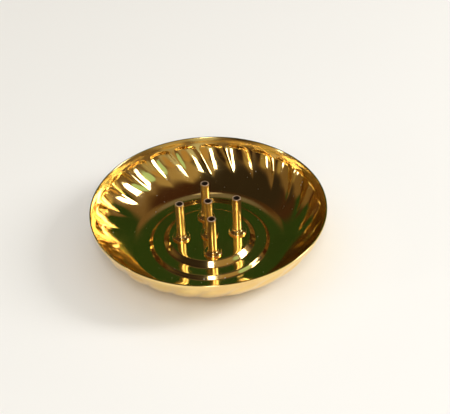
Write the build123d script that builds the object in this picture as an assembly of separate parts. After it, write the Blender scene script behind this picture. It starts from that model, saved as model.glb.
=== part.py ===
from build123d import *
import math
import os

# Brass incense-stick dish: a shallow spun bowl with swirled flutes and a stepped centre.
# Five turned sockets stand on the centre, each with a tube that holds one stick.
# Millimetres, +Z up, origin at the middle of the foot plane.

# ---- driving dimensions ----
RIM_R = 65.0            # outside of the lip
HEIGHT = 25.4           # foot plane to the top of the lip
SHEET = 1.0             # thickness of the bowl

LIP_WIDTH = 1.5         # from RIM_R to the wall's inner face at the root of the lip
LIP_THICK = 1.7         # height of its outer face
LIP_CREST = 0.8         # width of its top, before rounding
LIP_FALL = 1.7          # height of the slope from the crest down to the wall
LIP_ROUND_IN = 0.35     # rounding between slope and crest
LIP_ROUND_OUT = 0.3     # rounding of the outer corners

STEP_ROUND = 0.7        # rounding of the pressed steps
STEP_SHIFT = 0.4 * SHEET    # how much further in the steps lie on the underside

PLATFORM_R = 22.5       # upper edge of the raised centre
PLATFORM_TOP = 5.1      # its upper face
PLATFORM_TOE_R = 25.5   # where its sloping wall meets the ring below
RING_TOP = 2.6          # upper face of that ring
RING_R = 31.7           # outer edge of the ring
RING_TOE_R = 33.4       # where the second slope meets the floor
LAND_R = 36.9           # outer edge of the flat land that the dish stands on

TURN_R = 44.0           # where the floor's sweep passes into the wall's, on the outside
TURN_Z = 1.2
WALL_ARC_R = 38.0       # radius of the wall's outside in section

FLUTES = 25
FLUTE_OUT = 0.65        # how far the middle of a flute stands outside the plain wall
FLUTE_IN = 0.45         # how far a ridge stands inside it
FLUTE_PHASE = 9.0       # degrees from +X to the top of one ridge
FLUTE_TURN = 13.5       # degrees that a ridge turns on its way down
FLUTE_Z0 = 2.4          # height where the flutes fade out
FLUTE_Z1 = 21.0         # height where they begin, under the plain band
FLUTE_LEAN = 1.3        # above 1, the flutes are deepest in the upper half of the wall
FLUTE_SWELL = 0.7       # below 1, the flutes keep their depth over more of the wall
FLUTE_SECTIONS = 7

TUBE_COUNT = 4          # tubes round the middle one
TUBE_CIRCLE_R = 15.7
TUBE_TURN = 5.0         # degrees from +X to the first tube
TUBE_R = 2.4
BORE_R = 1.7
TUBE_TOP = 29.0
TUBE_BREAK = 0.1        # broken edge at the mouth

SOCKET_FLOOR = 0.9      # metal under the tube, above the platform
SOCKET_R = 4.9          # foot of the flared socket
SOCKET_EDGE = 1.2       # thickness of its foot at the edge, before rounding
SOCKET_RISE = 0.5       # how much thicker the foot is where it meets the neck
SOCKET_ROUND = 0.55     # rounding of the foot's edge
SOCKET_FILLET = 0.6     # between neck and foot
SOCKET_HEIGHT = 2.8     # top of the neck above the platform
SOCKET_LIP = 0.2        # wall round the tube at the top
STUD_R = 2.0
STUD_LENGTH = 3.8       # from the platform's upper face downward
STUD_CHAMFER = 0.3

NUT_FLATS = 7.0
NUT_THICK = 2.2
NUT_CHAMFER = 0.25
NUT_TURN = 17.0         # degrees each nut ends up turned from the one before


def wall_centre():
    """Centre of the wall's outside arc, through the turn and the root of the lip."""
    root_r = RIM_R - LIP_WIDTH + SHEET
    root_z = HEIGHT - LIP_THICK
    mid_r = (root_r + TURN_R) / 2
    mid_z = (root_z + TURN_Z) / 2
    half = math.hypot(root_r - TURN_R, root_z - TURN_Z) / 2
    reach = math.sqrt(WALL_ARC_R**2 - half**2)
    along = ((root_r - TURN_R) / (2 * half), (root_z - TURN_Z) / (2 * half))
    return mid_r - along[1] * reach, mid_z + along[0] * reach


WALL_CR, WALL_CZ = wall_centre()


def wall_r(z, inset):
    """Radius of the plain wall at height z, inset millimetres inside its outer face."""
    return WALL_CR + math.sqrt((WALL_ARC_R - inset)**2 - (z - WALL_CZ)**2)


def sweep_arc(z_from, z_to, inset):
    """Arc of the wall in section, from one height to another."""
    z_mid = (z_from + z_to) / 2
    ends = [(wall_r(z, inset), z) for z in (z_from, z_mid, z_to)]
    return ThreePointArc(*ends)


def revolved(lines):
    """Solid of revolution of a closed outline drawn in radius and height."""
    outline = make_face(lines)
    return revolve(Plane.XZ * outline, Axis.Z)


def floor_arc(z_end, inset):
    """Gentle arc from the land's edge up to the foot of the wall."""
    end_r = wall_r(z_end, inset)
    return TangentArc((LAND_R, inset), (end_r, z_end), tangent=(1, 0))


def base():
    """Stepped centre, land and floor, up to where the flutes fade out."""
    top = [(0, PLATFORM_TOP), (PLATFORM_R, PLATFORM_TOP), (PLATFORM_TOE_R, RING_TOP),
           (RING_R, RING_TOP), (RING_TOE_R, SHEET), (LAND_R, SHEET)]
    under = [(0, PLATFORM_TOP - SHEET), (PLATFORM_R - STEP_SHIFT, PLATFORM_TOP - SHEET),
             (PLATFORM_TOE_R - STEP_SHIFT, RING_TOP - SHEET), (RING_R - STEP_SHIFT, RING_TOP - SHEET),
             (RING_TOE_R - STEP_SHIFT, 0), (LAND_R, 0)]
    edge_in = (wall_r(FLUTE_Z0, SHEET), FLUTE_Z0)
    edge_out = (wall_r(FLUTE_Z0, 0), FLUTE_Z0)
    lines = FilletPolyline(*top, radius=STEP_ROUND) + floor_arc(FLUTE_Z0, SHEET)
    lines += Line(edge_in, edge_out) + floor_arc(FLUTE_Z0, 0)
    lines += FilletPolyline(*under, radius=STEP_ROUND) + Line(top[0], under[0])
    return revolved(lines)


def band_and_lip():
    """Plain band above the flutes, with the flared lip."""
    root = HEIGHT - LIP_THICK
    in_r = wall_r(HEIGHT - LIP_FALL, SHEET)
    low_in = (wall_r(FLUTE_Z1, SHEET), FLUTE_Z1)
    low_out = (wall_r(FLUTE_Z1, 0), FLUTE_Z1)
    lines = Line(low_in, low_out) + sweep_arc(FLUTE_Z1, root, 0)
    lines += FilletPolyline((wall_r(root, 0), root), (RIM_R, root), (RIM_R, HEIGHT),
                            (RIM_R - LIP_CREST, HEIGHT), (in_r, HEIGHT - LIP_FALL),
                            radius=(LIP_ROUND_OUT, LIP_ROUND_OUT, LIP_ROUND_IN))
    lines += sweep_arc(FLUTE_Z1, HEIGHT - LIP_FALL, SHEET)
    return revolved(lines)


def flute_section(z, inset):
    """Closed outline of the fluted wall at one height."""
    share = (z - FLUTE_Z0) / (FLUTE_Z1 - FLUTE_Z0)
    swell = math.sin(math.pi * share**FLUTE_LEAN)**FLUTE_SWELL if 0 < share < 1 else 0
    plain = wall_r(z, inset)
    ridge_r = plain - FLUTE_IN * swell
    flute_r = plain + FLUTE_OUT * swell
    fall = (wall_r(FLUTE_Z1, inset) - plain) / (wall_r(FLUTE_Z1, inset) - wall_r(FLUTE_Z0, inset))
    pitch = 360 / FLUTES
    arcs = []
    for i in range(FLUTES):
        start = FLUTE_PHASE + i * pitch - FLUTE_TURN * fall
        spots = [(ridge_r, start), (flute_r, start + pitch / 2), (ridge_r, start + pitch)]
        points = [Vector(r, 0, z).rotate(Axis.Z, angle) for r, angle in spots]
        arcs.append(Edge.make_three_point_arc(*points))
    return Wire(arcs)


def fluted_body(inset):
    """Solid inside one face of the fluted wall."""
    step = (FLUTE_Z1 - FLUTE_Z0) / (FLUTE_SECTIONS - 1)
    sections = [flute_section(FLUTE_Z0 + i * step, inset) for i in range(FLUTE_SECTIONS)]
    return Solid.make_loft(sections)


def dish():
    shell = base() + (fluted_body(0) - fluted_body(SHEET)) + band_and_lip()
    for x, y in tube_places():
        shell -= Pos(x, y, PLATFORM_TOP) * Cylinder(STUD_R, 4 * SHEET)
    return shell


def tube_places():
    """Middle tube first, then the others counter-clockwise."""
    places = [(0.0, 0.0)]
    for i in range(TUBE_COUNT):
        angle = math.radians(TUBE_TURN + i * 360 / TUBE_COUNT)
        places.append((TUBE_CIRCLE_R * math.cos(angle), TUBE_CIRCLE_R * math.sin(angle)))
    return places


def tube():
    foot = PLATFORM_TOP + SOCKET_FLOOR
    lines = Polyline((BORE_R, foot), (TUBE_R, foot), (TUBE_R, TUBE_TOP - TUBE_BREAK),
                     (TUBE_R - TUBE_BREAK, TUBE_TOP), (BORE_R + TUBE_BREAK, TUBE_TOP),
                     (BORE_R, TUBE_TOP - TUBE_BREAK), (BORE_R, foot))
    return revolved(lines)


def socket():
    """Flared foot with a blind hole for the tube and a stud for the nut."""
    top = PLATFORM_TOP + SOCKET_HEIGHT
    floor = PLATFORM_TOP + SOCKET_FLOOR
    edge = PLATFORM_TOP + SOCKET_EDGE
    end = PLATFORM_TOP - STUD_LENGTH
    neck_r = TUBE_R + SOCKET_LIP
    low = (SOCKET_R, PLATFORM_TOP)
    lines = FilletPolyline((neck_r, top), (neck_r, edge + SOCKET_RISE), (SOCKET_R, edge), low,
                           radius=(SOCKET_FILLET, SOCKET_ROUND))
    lines += Polyline(low, (STUD_R, PLATFORM_TOP), (STUD_R, end + STUD_CHAMFER),
                      (STUD_R - STUD_CHAMFER, end), (0, end), (0, floor), (TUBE_R, floor),
                      (TUBE_R, top), (neck_r, top))
    return revolved(lines)


def nut():
    """Thin hexagon nut against the underside of the platform."""
    top = PLATFORM_TOP - SHEET
    hexagon = RegularPolygon(NUT_FLATS / 2, 6, major_radius=False)
    body = Pos(0, 0, top - NUT_THICK) * extrude(hexagon, NUT_THICK)
    corner_r = NUT_FLATS / math.sqrt(3)
    low = top - NUT_THICK
    cone = revolved(Polyline((0, top), (corner_r, top), (corner_r, low + NUT_CHAMFER),
                             (corner_r - 2 * NUT_CHAMFER, low), (0, low), (0, top)))
    return (body & cone) - Pos(0, 0, top) * Cylinder(STUD_R, 3 * NUT_THICK)


def main():
    os.makedirs("parts", exist_ok=True)
    names = ["centre", "right", "back", "left", "front"]
    parts = {"fluted_dish": dish()}
    for i, (name, (x, y)) in enumerate(zip(names, tube_places())):
        place = Pos(x, y, 0)
        parts["stick_tube_" + name] = place * tube()
        parts["flared_socket_" + name] = place * socket()
        parts["stud_nut_" + name] = place * Rot(0, 0, i * NUT_TURN) * nut()
    for name, shape in parts.items():
        shape.label = name
        export_step(shape, "parts/" + name + ".step")
        print(name, round(shape.volume, 1))


main()
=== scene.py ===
import math

import bmesh
import bpy
import numpy as np
from mathutils import Matrix, Vector

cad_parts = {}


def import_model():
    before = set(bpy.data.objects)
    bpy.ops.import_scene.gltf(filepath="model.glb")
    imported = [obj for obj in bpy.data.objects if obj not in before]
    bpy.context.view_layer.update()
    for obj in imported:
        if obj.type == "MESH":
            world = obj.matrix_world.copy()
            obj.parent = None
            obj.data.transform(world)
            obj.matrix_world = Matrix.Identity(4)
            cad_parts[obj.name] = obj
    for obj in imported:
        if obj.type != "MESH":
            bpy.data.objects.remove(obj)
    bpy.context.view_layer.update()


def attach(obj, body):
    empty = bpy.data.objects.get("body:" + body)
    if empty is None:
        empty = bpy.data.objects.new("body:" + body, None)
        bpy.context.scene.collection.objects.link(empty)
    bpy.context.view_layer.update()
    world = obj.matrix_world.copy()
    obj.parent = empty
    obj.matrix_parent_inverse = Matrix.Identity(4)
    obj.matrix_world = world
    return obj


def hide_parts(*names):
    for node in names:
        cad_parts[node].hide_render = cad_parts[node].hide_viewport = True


# A polished brass dish for incense sticks, in metres, in the CAD model's frame.
# Shapes are drawn in millimetres and scaled by MM.
MM = 0.001

# ---- sizes, the same as the CAD model's ----
RIM_R = 65.0
HEIGHT = 25.4
SHEET = 1.0
LIP_WIDTH = 1.5
LIP_THICK = 1.7
LIP_CREST = 0.8
LIP_FALL = 1.7
LIP_ROUND_IN = 0.35
LIP_ROUND_OUT = 0.3
PLATFORM_R = 22.5
PLATFORM_TOP = 5.1
PLATFORM_TOE_R = 25.5
RING_TOP = 2.6
RING_R = 31.7
RING_TOE_R = 33.4
LAND_R = 36.9
TURN_R = 44.0
TURN_Z = 1.2
WALL_ARC_R = 38.0
STEP_ROUND = 0.7
STEP_SHIFT = 0.4 * SHEET    # how much further in the steps lie on the underside

FLUTES = 25
FLUTE_OUT = 0.65
FLUTE_IN = 0.45
FLUTE_PHASE = math.radians(9.0)
FLUTE_TURN = math.radians(13.5)

# ---- shape of the flutes; shares run from 0 at the top of the wall's arc to 1 at its foot ----
TURN_LEAN = 1.2         # above 1, the ridges turn less near the top
ARCH_TOP = 0.090        # share where the flutes' floors begin
ARCH_STEP = 0.080       # share that a flute's rounded end takes, inside
ARCH_STEP_OUT = 0.26    # the same on the outside, which the press leaves softer
ARCH_POWER = 3          # higher gives the ends a sharper step
EDGE_SOFT = 0.07        # softness of a flute's edges in millimetres, inside
EDGE_SOFT_OUT = 0.30
ROUND_FLOOR = 2         # exponent of a flute's cross section at its end, a round one
FLOOR_FLAT = 2.5        # the same at ARCH_FOOT, a flatter one
ARCH_WIDTH = 0.84       # width of a flute at its end, against the pitch
ARCH_FOOT = 0.42        # share where neighbouring flutes meet in a sharp ridge
FADE_START = 0.30       # shares where the flutes begin to fade out and where they are gone
FADE_END = 0.88
BAND_BLEND = 0.05       # the plain band passes into the fluted wall over this share
INSET_START = 0.04      # from this share, and over INSET_SPAN, the ridges come in by FLUTE_IN
INSET_SPAN = 0.30

TUBE_NAMES = ("centre", "right", "back", "left", "front")
TUBE_COUNT = 4          # tubes round the middle one
TUBE_CIRCLE_R = 15.7
TUBE_TURN = math.radians(5.0)
TUBE_R = 2.4
BORE_R = 1.7
TUBE_TOP = 29.0
SOCKET_FLOOR = 0.9
SOCKET_R = 4.9
SOCKET_EDGE = 1.2
SOCKET_RISE = 0.5
SOCKET_ROUND = 0.55
SOCKET_FILLET = 0.6
SOCKET_HEIGHT = 2.8
SOCKET_LIP = 0.2
STUD_R = 2.0
STUD_LENGTH = 3.8
STUD_CHAMFER = 0.3
NUT_FLATS = 7.0
NUT_THICK = 2.2
NUT_TURN = math.radians(17.0)

# ---- small edges, drawn a little softer than the CAD's ----
NUT_CHAMFER = 0.35      # height of the cut under the nut's corners
NUT_FACE_GAP = 0.1      # the nut's lower face is a circle this far inside its flats
TUBE_ROUND_OUT = 0.15
TUBE_ROUND_IN = 0.1
NECK_ROUND = 0.08
SEAT_ROUND = 0.1

# ---- mesh density: steps are in millimetres ----
COLUMNS_PER_FLUTE = 18
ROW_STEP = 0.42
OUTER_ROW_STEP = 1.2 * ROW_STEP
FLAT_STEP = 1.6
UNDER_STEP = 2.0
LIP_STEP = 0.3
LIP_GAP = 0.25 * ROW_STEP   # the wall's last row inside is at least this far below the lip
EDGE_STEP = 0.2
TUBE_STEP = 1.5
SOCKET_STEP = 1.0
NUT_STEP = 0.5
LATHE_COLUMNS = 96
NUT_COLUMNS = 144
ARC_FINENESS = 0.25     # step along a rounding, against the step along the rest
ARC_POINTS = 4          # a rounding has at least this many spans
FLOOR_SPANS = 4         # the floor's sweep has at least this many
STRAIGHT = 0.01         # radians; a corner that turns less stays as it is
TINY = 1e-6


# ---------------------------------------------------------------- outlines
def rounded(corners, radii, step):
    """Points along a polyline whose inner corners are rounded by arcs."""
    pts = [np.array(p, float) for p in corners]
    path = [pts[0]]
    for before, here, after, radius in zip(pts, pts[1:], pts[2:], radii):
        u = (before - here) / np.linalg.norm(before - here)
        v = (after - here) / np.linalg.norm(after - here)
        half = math.acos(max(-1.0, min(1.0, float(u @ v)))) / 2
        if radius <= 0 or half > math.pi / 2 - STRAIGHT:
            path.append(here)
            continue
        reach = radius / math.tan(half)
        mid = (u + v) / np.linalg.norm(u + v)
        centre = here + mid * radius / math.sin(half)
        start = here + u * reach
        end = here + v * reach
        a0 = math.atan2(*(start - centre)[::-1])
        a1 = math.atan2(*(end - centre)[::-1])
        sweep = (a1 - a0 + math.pi) % (2 * math.pi) - math.pi
        count = max(ARC_POINTS, int(abs(sweep) * radius / (step * ARC_FINENESS)))
        for k in range(count + 1):
            a = a0 + sweep * k / count
            path.append(centre + radius * np.array([math.cos(a), math.sin(a)]))
    path.append(pts[-1])
    return np.array(path)


def filled(path, step):
    """The same outline with long straight stretches divided."""
    out = [path[0]]
    for a, b in zip(path, path[1:]):
        count = max(1, int(math.ceil(np.linalg.norm(b - a) / step)))
        for k in range(1, count + 1):
            out.append(a + (b - a) * k / count)
    return np.array(out)


# ---------------------------------------------------------------- meshes
def mesh_object(name, rings, pole_first=False, pole_last=False, closed=False):
    """A smooth mesh from rings of points; a pole ring is drawn together to one point."""
    verts = []
    index = []
    for i, ring in enumerate(rings):
        pole = (i == 0 and pole_first) or (i == len(rings) - 1 and pole_last)
        points = [ring.mean(axis=0)] if pole else list(ring)
        start = len(verts)
        index.append([start + (0 if pole else k) for k in range(len(ring))])
        verts.extend(points)
    if closed:
        index.append(index[0])
    faces = []
    for low, high in zip(index, index[1:]):
        for k in range(len(low)):
            n = (k + 1) % len(low)
            quad = [low[k], low[n], high[n], high[k]]
            face = [v for j, v in enumerate(quad) if v != quad[j - 1]]
            faces.append(face)
    mesh = bpy.data.meshes.new(name)
    mesh.from_pydata([tuple(np.array(v) * MM) for v in verts], [], faces)
    mesh.update()
    mesh.validate()
    mesh.polygons.foreach_set("use_smooth", [True] * len(mesh.polygons))
    obj = bpy.data.objects.new(name, mesh)
    bpy.context.scene.collection.objects.link(obj)
    return obj


def outward(obj):
    """Faces turned so that their normals point out of the closed body."""
    bm = bmesh.new()
    bm.from_mesh(obj.data)
    bmesh.ops.recalc_face_normals(bm, faces=bm.faces)
    bm.to_mesh(obj.data)
    bm.free()
    return obj


def lathe(name, path, x=0.0, y=0.0, columns=LATHE_COLUMNS, radius_at=None):
    """Solid of revolution. radius_at(radius, height, angles) may change a ring's radii."""
    angles = np.linspace(0, 2 * math.pi, columns, endpoint=False)
    rings = []
    for r, z in path:
        radii = np.full(columns, r) if radius_at is None else radius_at(r, z, angles)
        ring = np.stack([x + radii * np.cos(angles), y + radii * np.sin(angles),
                         np.full(columns, z)], axis=1)
        rings.append(ring)
    first = path[0][0] < TINY
    last = path[-1][0] < TINY
    obj = mesh_object(name, rings, first, last, closed=not (first and last))
    return outward(obj)


def smoothstep(x):
    """0 up to x = 0, 1 from x = 1, smooth between."""
    x = np.clip(x, 0, 1)
    return x * x * (3 - 2 * x)


# ---------------------------------------------------------------- the dish
def wall_centre():
    """Centre of the wall's outside arc, through the turn and the root of the lip."""
    root = np.array([RIM_R - LIP_WIDTH + SHEET, HEIGHT - LIP_THICK])
    turn = np.array([TURN_R, TURN_Z])
    half = np.linalg.norm(root - turn) / 2
    along = (root - turn) / (2 * half)
    reach = math.sqrt(WALL_ARC_R**2 - half**2)
    return (root + turn) / 2 + reach * np.array([-along[1], along[0]])


WALL_C = wall_centre()
WALL_A_LOW = math.atan2(TURN_Z - WALL_C[1], TURN_R - WALL_C[0])
WALL_A_TOP = math.atan2(HEIGHT - LIP_THICK - WALL_C[1], RIM_R - LIP_WIDTH + SHEET - WALL_C[0])


def flute_share(angle):
    """0 at the top of the wall's arc, 1 at its foot."""
    return (WALL_A_TOP - angle) / (WALL_A_TOP - WALL_A_LOW)


def wall_points(inset, step):
    """Rows of the wall in section, foot to top: radius, height and share."""
    radius = WALL_ARC_R - inset
    count = int(radius * (WALL_A_TOP - WALL_A_LOW) / step)
    angles = np.linspace(WALL_A_LOW, WALL_A_TOP, count + 1)
    return [(WALL_C[0] + radius * math.cos(a), WALL_C[1] + radius * math.sin(a), flute_share(a))
            for a in angles]


def flute_push(share, u, end, blend):
    """How far the wall is pushed out, at a share of its arc and at u, -0.5 to 0.5, across a flute."""
    down = smoothstep((share - ARCH_TOP) / (ARCH_FOOT - ARCH_TOP))
    width = ARCH_WIDTH + (1 - ARCH_WIDTH) * down
    climb = np.clip((ARCH_TOP + end - share) / end, 0, 2)
    depth = FLUTE_IN + FLUTE_OUT
    flat = ROUND_FLOOR + (FLOOR_FLAT - ROUND_FLOOR) * down
    scoop = depth * (1 - np.abs(2 * u / width)**flat - climb**ARCH_POWER)
    cut = (scoop + np.sqrt(scoop**2 + blend**2)) / 2
    fade = 1 - smoothstep((share - FADE_START) / (FADE_END - FADE_START))
    inset = FLUTE_IN * smoothstep((share - INSET_START) / INSET_SPAN)
    return (cut * smoothstep(share / BAND_BLEND) - inset) * fade


def dish_rows():
    """Rows of the dish's skin, from its middle up the inside, then over the lip and down outside.

    Only rows with a share between 0 and 1 are fluted.
    """
    top = [(0, PLATFORM_TOP), (PLATFORM_R, PLATFORM_TOP), (PLATFORM_TOE_R, RING_TOP),
           (RING_R, RING_TOP), (RING_TOE_R, SHEET), (LAND_R, SHEET)]
    under = [(0, PLATFORM_TOP - SHEET), (PLATFORM_R - STEP_SHIFT, PLATFORM_TOP - SHEET),
             (PLATFORM_TOE_R - STEP_SHIFT, RING_TOP - SHEET), (RING_R - STEP_SHIFT, RING_TOP - SHEET),
             (RING_TOE_R - STEP_SHIFT, 0), (LAND_R, 0)]
    rounds = [STEP_ROUND] * 4
    top_path = filled(rounded(top, rounds, ROW_STEP), FLAT_STEP)
    under_path = filled(rounded(under, rounds, ROW_STEP), UNDER_STEP)
    root = HEIGHT - LIP_THICK
    foot = HEIGHT - LIP_FALL
    foot_r = WALL_C[0] + math.sqrt((WALL_ARC_R - SHEET)**2 - (foot - WALL_C[1])**2)
    wall_in = [row for row in wall_points(SHEET, ROW_STEP) if row[1] < foot - LIP_GAP]
    wall_out = wall_points(0, OUTER_ROW_STEP)
    lip = [wall_in[-1][:2], (foot_r, foot), (RIM_R - LIP_CREST, HEIGHT), (RIM_R, HEIGHT),
           (RIM_R, root), (wall_out[-1][0], root)]
    lip_path = rounded(lip, [0, LIP_ROUND_IN, LIP_ROUND_OUT, LIP_ROUND_OUT], LIP_STEP)[1:-1]
    inner = [(r, z, 1.0) for r, z in top_path] + floor_points(SHEET, wall_in[0]) + wall_in
    outer = [(r, z, 0.0) for r, z in lip_path] + wall_out[::-1]
    outer += floor_points(0, wall_out[0])[::-1] + [(r, z, 1.0) for r, z in under_path[::-1]]
    return inner, outer


def floor_points(inset, end):
    """The floor's gentle sweep from the land's edge up to the foot of the wall."""
    chord = math.hypot(end[0] - LAND_R, end[1] - inset)
    lean = math.atan2(end[1] - inset, end[0] - LAND_R)
    radius = chord / (2 * math.sin(lean))
    count = max(FLOOR_SPANS, int(chord / ROW_STEP))
    out = []
    for k in range(1, count):
        a = 2 * lean * k / count
        out.append((LAND_R + radius * math.sin(a), inset + radius * (1 - math.cos(a)), 1.0))
    return out


def build_dish():
    """The whole dish as one closed skin; both its ends are poles on the axis."""
    columns = FLUTES * COLUMNS_PER_FLUTE
    k = np.arange(columns)
    u = (k % COLUMNS_PER_FLUTE) / COLUMNS_PER_FLUTE - 0.5
    base = 2 * math.pi * k / columns + FLUTE_PHASE
    rings = []
    inner, outer = dish_rows()
    for i, (r, z, share) in enumerate(inner + outer):
        within = i < len(inner)
        end = ARCH_STEP if within else ARCH_STEP_OUT
        blend = EDGE_SOFT if within else EDGE_SOFT_OUT
        angles = base - FLUTE_TURN * share**TURN_LEAN
        radii = np.full(columns, r)
        heights = np.full(columns, z)
        if 0 < share < 1:
            away = np.array([r, z]) - WALL_C
            away /= np.linalg.norm(away)
            push = flute_push(share, u, end, blend)
            radii = radii + away[0] * push
            heights = heights + away[1] * push
        ring = np.stack([radii * np.cos(angles), radii * np.sin(angles), heights], axis=1)
        rings.append(ring)
    return outward(mesh_object("dish_shell", rings, True, True))


# ---------------------------------------------------------------- tubes, sockets, nuts
def tube_places():
    """Middle tube first, then the others counter-clockwise."""
    places = [(0.0, 0.0)]
    for i in range(TUBE_COUNT):
        a = TUBE_TURN + i * 2 * math.pi / TUBE_COUNT
        places.append((TUBE_CIRCLE_R * math.cos(a), TUBE_CIRCLE_R * math.sin(a)))
    return places


BORE_MARGIN = 0.02      # faces no further out than this past the bore are the bore's


def build_tube(name, x, y):
    """A tube; the faces of its bore take the second material."""
    foot = PLATFORM_TOP + SOCKET_FLOOR
    corners = [(BORE_R, foot), (TUBE_R, foot), (TUBE_R, TUBE_TOP), (BORE_R, TUBE_TOP),
               (BORE_R, foot)]
    radii = [0, TUBE_ROUND_OUT, TUBE_ROUND_IN]
    path = filled(rounded(corners, radii, EDGE_STEP), TUBE_STEP)
    tube = lathe("tube_" + name, path[:-1], x, y)
    for face in tube.data.polygons:
        off = math.hypot(face.center.x / MM - x, face.center.y / MM - y)
        if off < BORE_R + BORE_MARGIN:
            face.material_index = 1
    return tube


def build_socket(name, x, y):
    """Flared foot with a blind hole for the tube and a stud below."""
    top = PLATFORM_TOP + SOCKET_HEIGHT
    neck_r = TUBE_R + SOCKET_LIP
    floor = PLATFORM_TOP + SOCKET_FLOOR
    edge = PLATFORM_TOP + SOCKET_EDGE
    end = PLATFORM_TOP - STUD_LENGTH
    corners = [(0, floor), (TUBE_R, floor), (TUBE_R, top), (neck_r, top),
               (neck_r, edge + SOCKET_RISE), (SOCKET_R, edge), (SOCKET_R, PLATFORM_TOP),
               (STUD_R, PLATFORM_TOP), (STUD_R, end + STUD_CHAMFER),
               (STUD_R - STUD_CHAMFER, end), (0, end)]
    radii = [0, 0, NECK_ROUND, SOCKET_FILLET, SOCKET_ROUND, SEAT_ROUND, 0, 0, 0]
    path = filled(rounded(corners, radii, EDGE_STEP), SOCKET_STEP)
    return lathe("socket_" + name, path, x, y)


def build_nut(name, x, y, turn):
    """Hexagon nut with its lower corners chamfered."""
    top = PLATFORM_TOP - SHEET
    low = top - NUT_THICK
    corner_r = NUT_FLATS / math.sqrt(3)
    corners = [(STUD_R, low), (NUT_FLATS / 2 - NUT_FACE_GAP, low), (corner_r, low + NUT_CHAMFER),
               (corner_r, top), (STUD_R, top), (STUD_R, low)]
    path = filled(np.array(corners, float), NUT_STEP)[:-1]

    def hexagon(r, z, angles):
        local = (angles - turn + math.pi / 6) % (math.pi / 3) - math.pi / 6
        return np.minimum(r, NUT_FLATS / 2 / np.cos(local))

    return lathe("nut_" + name, path, x, y, NUT_COLUMNS, hexagon)


# ---------------------------------------------------------------- materials
# Noise scales are per metre: at 50, the features are about 20 mm across.
# Each range gives where a pattern begins and where it is full.
SMUDGE_SCALE = 55
SMUDGE_RANGE = (0.42, 0.72)
SMUDGE_ROUGH = 0.05
LINE_SCALE = 2600
DRAWN_STRETCH = (1, 1, 0.02)    # draw lines run up a tube
LINE_ROUGH = 0.03
LINE_DEPTH = 0.0004
HAIR_SCALE = 2100
HAIR_STRETCH = (1, 0.015, 1)
HAIR_TURNS = (0.5, 1.9, 2.6)
HAIR_TILT = (0.4, 0.7)          # how much of a turn about Z is also made about X and Y
HAIR_RANGE = (0.70, 0.74)
HAIR_ROUGH = 0.06
SPECK_DEPTH = 0.002             # dust stands out by this, hair scratches go in by it
DUST_SCALE = 420
DUST_SIZE = (0.05, 0.12)
DUST_PATCH_SCALE = 300
DUST_PATCHES = (0.60, 0.66)
DUST_ROUGH = 0.5
DUST_COLOR = (0.80, 0.74, 0.66, 1)
TARNISH_SCALE = 38
TARNISH_RANGE = (0.45, 0.75)
TARNISH_SHARE = 0.55            # the most that tarnish covers the clean colour; on a socket's foot, also the strength of its painted orange reflection
WAVE_SCALE = 90
WORN_FROM = HEIGHT - 6          # the wall is duller towards the lip
WORN_FULL = HEIGHT - 2.5
WORN_ROUGH = 0.06
BARE_DEPTH = (0.25, 0.1)        # a sawn end is bare from here below its top
BARE_METAL = (1.0, 0.74, 0.54, 1)
BARE_ROUGH = 0.3
FOOT_BLEND = 0.3                # softness of the upper and lower ends of the foot's band with a painted orange reflection
SEAT_BLEND = 0.4
FOOT_OLD = 0.3                  # tarnish left on a piece that has a painted orange reflection at its foot
FOOT_ROUGH = 0.18


def calc(tree, operation, a, b=0.0):
    """A math node's result; a and b are sockets or numbers."""
    node = tree.nodes.new("ShaderNodeMath")
    node.operation = operation
    for slot, value in zip(node.inputs, (a, b)):
        if isinstance(value, (int, float)):
            slot.default_value = value
        else:
            tree.links.new(value, slot)
    return node.outputs[0]


def mixed(tree, share, first, second):
    """A colour mix; first and second are sockets or RGBA colours."""
    node = tree.nodes.new("ShaderNodeMix")
    node.data_type = "RGBA"
    tree.links.new(share, node.inputs["Factor"])
    for slot, value in ((node.inputs[6], first), (node.inputs[7], second)):
        if isinstance(value, tuple):
            slot.default_value = value
        else:
            tree.links.new(value, slot)
    return node.outputs[2]


def ramp(tree, value, low, high):
    """0 below low, 1 above high, smooth between."""
    node = tree.nodes.new("ShaderNodeMapRange")
    node.interpolation_type = "SMOOTHSTEP"
    node.inputs["From Min"].default_value = low
    node.inputs["From Max"].default_value = high
    tree.links.new(value, node.inputs["Value"])
    return node.outputs["Result"]


def stretch(tree, vector, turn, scale):
    """Coordinates turned, mostly about Z, then scaled, for patterns with a grain."""
    node = tree.nodes.new("ShaderNodeMapping")
    node.vector_type = "TEXTURE"
    node.inputs["Rotation"].default_value = (turn * HAIR_TILT[0], turn * HAIR_TILT[1], turn)
    node.inputs["Scale"].default_value = tuple(1 / v for v in scale)
    tree.links.new(vector, node.inputs["Vector"])
    return node.outputs["Vector"]


def noise(tree, vector, scale, detail):
    """Noise from 0 to 1, mostly near 0.5."""
    node = tree.nodes.new("ShaderNodeTexNoise")
    node.inputs["Scale"].default_value = scale
    node.inputs["Detail"].default_value = detail
    tree.links.new(vector, node.inputs["Vector"])
    return node.outputs["Fac"]


def bump(tree, height, distance, under=None):
    """A normal bent by a height pattern, on top of the normal under it."""
    node = tree.nodes.new("ShaderNodeBump")
    node.inputs["Distance"].default_value = distance
    tree.links.new(height, node.inputs["Height"])
    if under is not None:
        tree.links.new(under, node.inputs["Normal"])
    return node.outputs["Normal"]


def turned_grain(tree, place):
    """Coordinates that vary with radius and height only, then the radius and the height."""
    split = tree.nodes.new("ShaderNodeSeparateXYZ")
    tree.links.new(place, split.inputs[0])
    x2 = calc(tree, "MULTIPLY", split.outputs[0], split.outputs[0])
    y2 = calc(tree, "MULTIPLY", split.outputs[1], split.outputs[1])
    radius = calc(tree, "SQRT", calc(tree, "ADD", x2, y2))
    join = tree.nodes.new("ShaderNodeCombineXYZ")
    tree.links.new(radius, join.inputs[0])
    tree.links.new(split.outputs[2], join.inputs[2])
    return join.outputs[0], radius, split.outputs[2]


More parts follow.
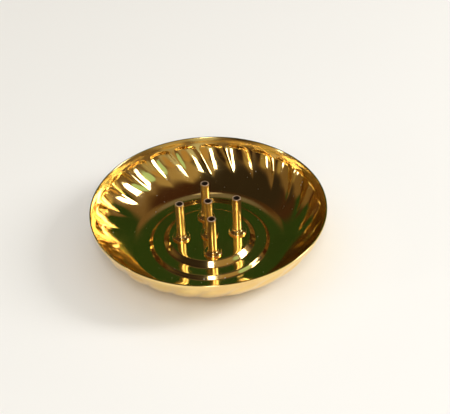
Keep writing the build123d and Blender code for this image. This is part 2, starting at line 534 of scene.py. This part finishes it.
def hair_scratches(tree, place):
    """Fine straight scratches in a few directions."""
    found = None
    for turn in HAIR_TURNS:
        pattern = noise(tree, stretch(tree, place, turn, HAIR_STRETCH), HAIR_SCALE, 1)
        here = ramp(tree, pattern, *HAIR_RANGE)
        found = here if found is None else calc(tree, "MAXIMUM", found, here)
    return found


def dust_specks(tree, place):
    """Small round specks, in patches."""
    cells = tree.nodes.new("ShaderNodeTexVoronoi")
    cells.inputs["Scale"].default_value = DUST_SCALE
    tree.links.new(place, cells.inputs["Vector"])
    speck = calc(tree, "SUBTRACT", 1, ramp(tree, cells.outputs["Distance"], *DUST_SIZE))
    patch = ramp(tree, noise(tree, place, DUST_PATCH_SCALE, 0), *DUST_PATCHES)
    return calc(tree, "MULTIPLY", speck, patch)


def tarnish_share(tree, place, radius, creases):
    """Share of the tarnish colour: in blotches where the metal is tarnished, and in darker, warmer
    rings along creases given as (radius, reach).
    """
    old = ramp(tree, noise(tree, place, TARNISH_SCALE, 5), *TARNISH_RANGE)
    for crease, reach in creases:
        away = calc(tree, "ABSOLUTE", calc(tree, "SUBTRACT", radius, crease * MM))
        near = calc(tree, "SUBTRACT", 1, ramp(tree, away, 0, reach * MM))
        old = calc(tree, "MAXIMUM", old, near)
    return old


def roughen(tree, rough, share, amount):
    """The roughness, raised by amount where share is 1."""
    return calc(tree, "ADD", rough, calc(tree, "MULTIPLY", share, amount))


def brass(name, tint, tarnish, roughness, wave, grain, bare_top=None, creases=(),
          rim_wear=False, painted_reflection_below=None):
    """Polished brass: smudges, faint rings or draw lines, hair scratches, dust and tarnish.

    bare_top is the height of a sawn end, and the last argument the top of a duller band at the foot
    where an orange reflection is painted into the colour.
    """
    mat = bpy.data.materials.new(name)
    mat.use_nodes = True
    tree = mat.node_tree
    shader = tree.nodes["Principled BSDF"]
    place = tree.nodes.new("ShaderNodeTexCoord").outputs["Object"]
    rings, radius, height = turned_grain(tree, place)
    along = rings if grain == "turned" else stretch(tree, place, 0, DRAWN_STRETCH)
    smudge = ramp(tree, noise(tree, place, SMUDGE_SCALE, 3), *SMUDGE_RANGE)
    lines = noise(tree, along, LINE_SCALE, 3)
    hair = hair_scratches(tree, place)
    dust = dust_specks(tree, place)
    old = tarnish_share(tree, place, radius, creases)

    rough = roughen(tree, roughness, smudge, SMUDGE_ROUGH)
    rough = roughen(tree, rough, lines, LINE_ROUGH)
    rough = roughen(tree, rough, hair, HAIR_ROUGH)
    rough = roughen(tree, rough, dust, DUST_ROUGH)
    if rim_wear:
        worn = ramp(tree, height, WORN_FROM * MM, WORN_FULL * MM)
        rough = roughen(tree, rough, worn, WORN_ROUGH)
    # Painted reflection: an orange band round the foot, in the tarnish colour; the band is also made
    # rougher.
    if painted_reflection_below is not None:
        above = ramp(tree, height, (painted_reflection_below - FOOT_BLEND) * MM, painted_reflection_below * MM)
        seat = ramp(tree, height, (PLATFORM_TOP - SEAT_BLEND) * MM, PLATFORM_TOP * MM)
        foot = calc(tree, "SUBTRACT", seat, above)
        old = calc(tree, "ADD", calc(tree, "MULTIPLY", old, FOOT_OLD), foot)
        rough = roughen(tree, rough, foot, FOOT_ROUGH)
    shade = mixed(tree, calc(tree, "MULTIPLY", old, TARNISH_SHARE), (*tint, 1), (*tarnish, 1))
    shade = mixed(tree, dust, shade, DUST_COLOR)
    if bare_top is not None:
        low, high = (bare_top - depth for depth in BARE_DEPTH)
        bare = ramp(tree, height, low * MM, high * MM)
        shade = mixed(tree, bare, shade, BARE_METAL)
        rough = roughen(tree, rough, bare, BARE_ROUGH)

    normal = bump(tree, noise(tree, place, WAVE_SCALE, 1), wave * MM)
    normal = bump(tree, lines, LINE_DEPTH * MM, normal)
    normal = bump(tree, calc(tree, "SUBTRACT", dust, hair), SPECK_DEPTH * MM, normal)
    tree.links.new(shade, shader.inputs["Base Color"])
    tree.links.new(rough, shader.inputs["Roughness"])
    tree.links.new(normal, shader.inputs["Normal"])
    shader.inputs["Metallic"].default_value = 1
    return mat


# ---------------------------------------------------------------- studio
CAMERA_UP_ANGLE = math.radians(38.8)
CAMERA_ROLL = math.radians(2.79)
CAMERA_REACH = 0.698
CAMERA_LENS = 102.1
CAMERA_SENSOR = 36
CAMERA_NEAR = 0.01
CAMERA_RIGHT = 0.0132       # how far the aim lies right of and below the rim's middle,
CAMERA_DOWN = 0.0008        # as a share of the distance


def add_camera():
    """Camera above the front, aimed near the rim's middle and rolled a little."""
    e = CAMERA_UP_ANGLE
    rim = Vector((0, 0, HEIGHT * MM))
    ahead = Vector((0, math.cos(e), -math.sin(e)))
    right = Vector((1, 0, 0))
    up = Vector((0, math.sin(e), math.cos(e)))
    place = rim - ahead * CAMERA_REACH
    c = math.cos(CAMERA_ROLL)
    s = math.sin(CAMERA_ROLL)
    right, up = right * c - up * s, right * s + up * c
    ahead = (ahead + right * CAMERA_RIGHT - up * CAMERA_DOWN).normalized()
    right = (right - ahead * right.dot(ahead)).normalized()
    up = right.cross(ahead)
    data = bpy.data.cameras.new("camera")
    data.lens = CAMERA_LENS
    data.sensor_width = CAMERA_SENSOR
    data.sensor_fit = "HORIZONTAL"
    data.clip_start = CAMERA_NEAR
    camera = bpy.data.objects.new("camera", data)
    turn = Matrix((right, up, -ahead)).transposed()
    camera.matrix_world = Matrix.Translation(place) @ turn.to_4x4()
    bpy.context.scene.collection.objects.link(camera)
    bpy.context.scene.camera = camera


FLOOR_REACH = 30.0
FLOOR_GAP = 0.00002     # keeps the floor out of the dish's own plane
PALE = (0.86, 0.85, 0.83, 1)


def add_floor():
    mesh = bpy.data.meshes.new("floor")
    s = FLOOR_REACH
    z = -FLOOR_GAP
    mesh.from_pydata([(-s, -s, z), (s, -s, z), (s, s, z), (-s, s, z)], [], [(0, 1, 2, 3)])
    floor = bpy.data.objects.new("floor", mesh)
    bpy.context.scene.collection.objects.link(floor)
    mat = bpy.data.materials.new("floor_paper")
    mat.use_nodes = True
    shader = mat.node_tree.nodes["Principled BSDF"]
    shader.inputs["Base Color"].default_value = PALE
    shader.inputs["Roughness"].default_value = 1.0
    shader.inputs["Specular IOR Level"].default_value = 0.1
    floor.data.materials.append(mat)


def direction(azimuth, elevation):
    """Unit vector; azimuth 0 is behind the dish as the camera sees it, 90 is to its right."""
    a = math.radians(azimuth)
    e = math.radians(elevation)
    return Vector((math.sin(a) * math.cos(e), math.cos(a) * math.cos(e), math.sin(e)))


# Soft cards round the dish: azimuth, elevation, inner and outer radius in degrees, colour.
CARDS = (
    (178, 20, 10, 17, (0.50, 0.49, 0.36)),
    (146, 20, 10, 22, (0.40, 0.34, 0.20)),
    (180, -4, 10, 15, (0.76, 0.50, 0.15)),
    (150, -4, 10, 15, (0.76, 0.50, 0.15)),
    (-150, -4, 10, 15, (0.70, 0.46, 0.14)),
    (-120, 0, 10, 17, (0.50, 0.34, 0.12)),
    (150, 32, 7, 16, (0.44, 0.28, 0.10)),
    (-146, 24, 8, 16, (0.034, 0.021, 0.012)),
    (-122, 26, 5, 12, (0.34, 0.25, 0.09)),
    (-162, 60, 18, 34, (0.058, 0.043, 0.026)),
    (138, 58, 11, 22, (0.36, 0.26, 0.12)),
    (0, 20, 22, 32, (0.024, 0.052, 0.012)),
    (-38, 20, 22, 30, (0.024, 0.052, 0.012)),
    (38, 20, 22, 30, (0.024, 0.052, 0.012)),
    (66, 0, 8, 16, (0.52, 0.38, 0.15)),
    (-62, 0, 8, 18, (0.060, 0.024, 0.012)),
    (-45, 72, 20, 34, (0.066, 0.032, 0.013)),
    (60, 75, 14, 26, (0.050, 0.020, 0.010)),
    (-60, 45, 12, 22, (0.050, 0.024, 0.012)),
    (-96, 65, 20, 38, (0.030, 0.022, 0.014)),
    (112, 36, 11, 13, (0.46, 0.70, 0.44)),
    (0, 56, 4, 12, (0.17, 0.15, 0.12)),
    (0, 64, 1.5, 4, (0.70, 0.62, 0.52)),
)


WORLD_BASE = (0.17, 0.108, 0.050, 1)


def add_world():
    """What the brass reflects: the cards over a brown ground. The camera itself sees pale."""
    world = bpy.data.worlds.new("studio")
    world.use_nodes = True
    bpy.context.scene.world = world
    tree = world.node_tree
    coords = tree.nodes.new("ShaderNodeTexCoord")
    color = WORLD_BASE
    for azimuth, elevation, inner, outer, card in CARDS:
        dot = tree.nodes.new("ShaderNodeVectorMath")
        dot.operation = "DOT_PRODUCT"
        dot.inputs[1].default_value = direction(azimuth, elevation)
        tree.links.new(coords.outputs["Generated"], dot.inputs[0])
        edge = ramp(tree, dot.outputs["Value"], math.cos(math.radians(outer)),
                    math.cos(math.radians(inner)))
        color = mixed(tree, edge, color, (*card, 1))
    to_camera = tree.nodes.new("ShaderNodeLightPath").outputs["Is Camera Ray"]
    seen = mixed(tree, to_camera, color, PALE)
    tree.links.new(seen, tree.nodes["Background"].inputs["Color"])
    tree.nodes["Background"].inputs["Strength"].default_value = 1.0


# Softboxes: name, azimuth, elevation, distance, width, height, turn about their aim, power.
SOFTBOXES = (
    ("window_right", 88, 32, 1.5, 0.34, 0.72, -12, 12.0),
    ("window_left", -106, 16, 1.5, 0.12, 0.32, 0, 1.4),
    ("box_front", 180, 46, 1.5, 0.20, 0.90, 0, 7.0),
)
FILL_POWER = 1.45
FILL_SPREAD = math.radians(110)


def add_fill():
    """Broad soft light from overhead for the floor; the mirror surfaces don't show it."""
    data = bpy.data.lights.new("fill", "SUN")
    data.angle = FILL_SPREAD
    data.energy = FILL_POWER
    light = bpy.data.objects.new("fill", data)
    light.visible_glossy = False
    bpy.context.scene.collection.objects.link(light)


def add_softboxes():
    for name, azimuth, elevation, reach, width, height, turn, power in SOFTBOXES:
        data = bpy.data.lights.new(name, "AREA")
        data.shape = "RECTANGLE"
        data.size = width
        data.size_y = height
        data.energy = power
        light = bpy.data.objects.new(name, data)
        away = direction(azimuth, elevation)
        aim = (-away).to_track_quat("-Z", "Y").to_matrix().to_4x4()
        light.matrix_world = (Matrix.Translation(away * reach) @ aim
                              @ Matrix.Rotation(math.radians(turn), 4, "Z"))
        bpy.context.scene.collection.objects.link(light)


GOLD = (0.93, 0.69, 0.28)
OLD_GOLD = (0.80, 0.50, 0.20)
SOCKET_GOLD = (0.90, 0.67, 0.29)
# Orange for the socket's tarnish, and for the painted reflection round its foot.
SOCKET_TARNISH_AND_REFLECTION = (1.0, 0.42, 0.08)
NUT_GOLD = (0.74, 0.58, 0.30)
OLD_NUT = (0.55, 0.40, 0.20)
SOOT = (0.16, 0.11, 0.08)
OLD_SOOT = (0.05, 0.04, 0.035)


def main():
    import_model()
    # The dish is darker and warmer in rings along its two step creases.
    dish_mat = brass("dish_brass", GOLD, OLD_GOLD, 0.06, 0.03, "turned",
                     creases=((PLATFORM_TOE_R, 1.4), (RING_TOE_R, 1.2)), rim_wear=True)
    tube_mat = brass("tube_brass", GOLD, OLD_GOLD, 0.27, 0.003, "drawn", bare_top=TUBE_TOP)
    soot = brass("bore_soot", SOOT, OLD_SOOT, 0.55, 0.01, "drawn")
    # The socket gets a painted orange reflection round the edge of its flange.
    socket_mat = brass("socket_brass", SOCKET_GOLD, SOCKET_TARNISH_AND_REFLECTION, 0.10, 0.003, "turned",
                       painted_reflection_below=PLATFORM_TOP + SOCKET_EDGE)
    nut_mat = brass("nut_brass", NUT_GOLD, OLD_NUT, 0.32, 0.01, "drawn")
    dish = build_dish()
    dish.data.materials.append(dish_mat)
    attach(dish, "root")
    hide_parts("fluted_dish")
    for i, (name, (x, y)) in enumerate(zip(TUBE_NAMES, tube_places())):
        made = ((build_tube(name, x, y), "stick_tube_", tube_mat, "tube_brass"),
                (build_socket(name, x, y), "flared_socket_", socket_mat, "socket_brass"),
                (build_nut(name, x, y, i * NUT_TURN), "stud_nut_", nut_mat, "nut_brass"))
        for obj, node, mat, slot in made:
            obj.data.materials.append(mat)
            if mat is tube_mat:
                obj.data.materials.append(soot)
            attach(obj, "root")
            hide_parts(node + name)
    add_camera()
    add_floor()
    add_world()
    add_softboxes()
    add_fill()
    bpy.context.scene.view_settings.view_transform = "Standard"


main()
